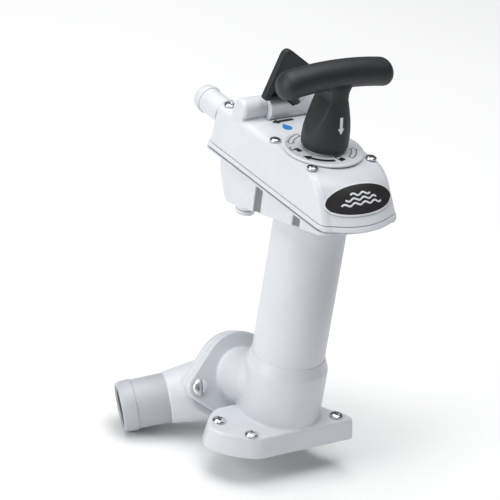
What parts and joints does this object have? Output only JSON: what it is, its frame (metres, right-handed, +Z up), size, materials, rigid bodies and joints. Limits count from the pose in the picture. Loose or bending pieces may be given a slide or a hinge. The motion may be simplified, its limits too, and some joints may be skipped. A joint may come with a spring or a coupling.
{
  "type": "manual marine toilet pump",
  "caption": "Hand-operated piston pump for a boat toilet: screw-down foot, upright cylinder, discharge hosetail, pump head with flush lever, and a T-grip handle that lifts and twists.",
  "frame": {"origin": "on the pump cylinder's axis, at the underside of the foot", "axes": "+Z up along the cylinder's axis, -Y towards the nose of the head, +Y towards its rear and the intake, X along the handle's grip bar"},
  "size_m": [0.155, 0.1985, 0.3416],
  "materials": {
    "white_plastic": "moulded cool-white plastic, semi-gloss",
    "tube_plastic": "smooth extruded plastic tube",
    "black_plastic": "black moulded plastic, satin",
    "seal_rubber": "moulded black rubber",
    "stainless": "polished stainless steel",
    "brass_weight": "turned brass",
    "nylon": "natural moulded nylon",
    "badge": "thin printed oval label"
  },
  "bodies": {
    "pump_body": {"pump_base": "white_plastic", "base_gasket": "seal_rubber", "base_screw_1": "stainless", "base_screw_2": "stainless", "base_screw_3": "stainless", "base_screw_4": "stainless", "joker_valve": "seal_rubber", "discharge_elbow": "white_plastic", "discharge_screw_1": "stainless", "discharge_nut_1": "stainless", "discharge_screw_2": "stainless", "discharge_nut_2": "stainless", "pump_cylinder": "tube_plastic", "head_housing": "white_plastic", "head_gasket": "seal_rubber", "head_cover": "white_plastic", "cover_screw_1": "stainless", "cover_screw_2": "stainless", "cover_screw_3": "stainless", "cover_screw_4": "stainless", "cover_screw_5": "stainless", "cover_screw_6": "stainless", "vent_plug": "white_plastic", "inlet_seat": "nylon", "intake_hosetail": "white_plastic", "seal_housing": "white_plastic", "rod_seal": "seal_rubber", "seal_retainer": "nylon", "lever_barrel": "white_plastic", "lever_pin": "stainless", "badge_plate": "badge"},
    "piston_body": {"piston": "nylon", "piston_o_ring": "seal_rubber"},
    "handle_body": {"handle": "black_plastic", "piston_rod": "stainless", "piston_nut": "stainless", "handle_pin": "stainless"},
    "lever_body": {"flush_lever": "black_plastic"},
    "base_flap": {"base_flapper": "seal_rubber", "flapper_weight": "brass_weight"},
    "inlet_flap_body": {"inlet_flap": "seal_rubber"}
  },
  "joints": [
    {"name": "handle_lift", "type": "slide", "parent": "pump_body", "child": "piston_body", "axis": [0, 0, 1], "range_m": [0, 0.105]},
    {"name": "handle_twist", "type": "hinge", "parent": "piston_body", "child": "handle_body", "pos_m": [0, 0, 0.05], "axis": [0, 0, 1], "range_deg": [-90, 0]},
    {"name": "flush_lever_swing", "type": "hinge", "parent": "pump_body", "child": "lever_body", "pos_m": [0.012, 0.058, 0.2494], "axis": [0, 1, 0], "range_deg": [0, 35]},
    {"name": "base_flap_lift", "type": "hinge", "parent": "pump_body", "child": "base_flap", "pos_m": [0, -0.0032, 0.0075], "axis": [1, 0, 0], "range_deg": [0, 55]},
    {"name": "inlet_flap_lift", "type": "hinge", "parent": "pump_body", "child": "inlet_flap_body", "pos_m": [0, 0.07, 0.2174], "axis": [-1, 0, 0], "range_deg": [0, 30]}
  ]
}
